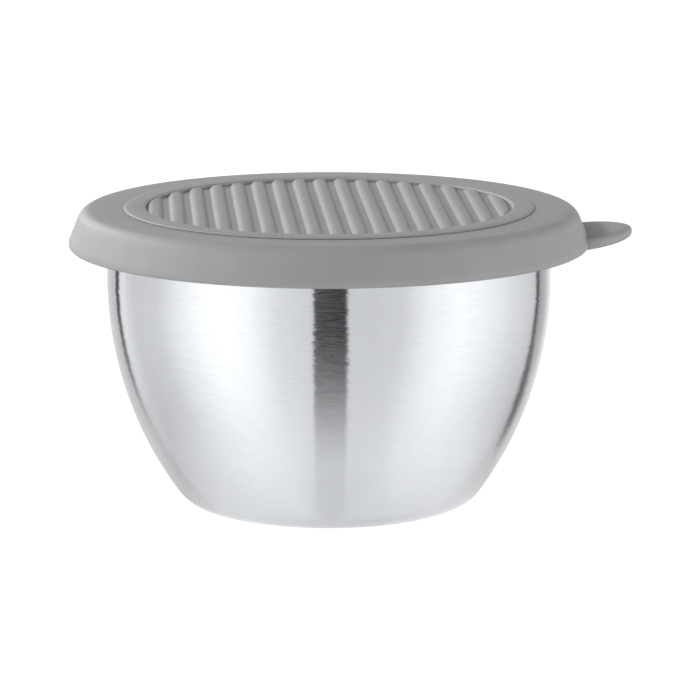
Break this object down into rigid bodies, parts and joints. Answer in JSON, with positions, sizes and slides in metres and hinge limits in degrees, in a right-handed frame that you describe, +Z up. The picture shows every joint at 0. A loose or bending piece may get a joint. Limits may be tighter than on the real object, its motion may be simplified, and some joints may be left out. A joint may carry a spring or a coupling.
{
  "type": "condiment container",
  "caption": "Small round brushed-steel cup that tapers to a flat base, closed by a grey silicone push-on lid with straight grip ribs and a pull tab.",
  "frame": {"origin": "centre of the cup's flat base", "axes": "+Z up along the cup's axis, +X towards the pull tab, the lid's ribs run along Y"},
  "size_m": [0.0869, 0.08, 0.0465],
  "materials": {
    "brushed_steel": "brushed round the cup, satin inside",
    "grey_silicone": "matt"
  },
  "bodies": {
    "cup": {"steel_cup": "brushed_steel"},
    "lid": {"silicone_lid": "grey_silicone"},
    "tab": {"pull_tab": "grey_silicone"}
  },
  "joints": [
    {"name": "lid_lift", "type": "slide", "parent": "cup", "child": "lid", "axis": [0, 0, 1], "range_m": [0, 0.05]},
    {"name": "tab_flex", "type": "hinge", "parent": "lid", "child": "tab", "pos_m": [0.0413, 0, 0.04145], "axis": [0, -1, 0], "range_deg": [-30, 70], "stiffness_Nm_per_rad": 0.005}
  ]
}
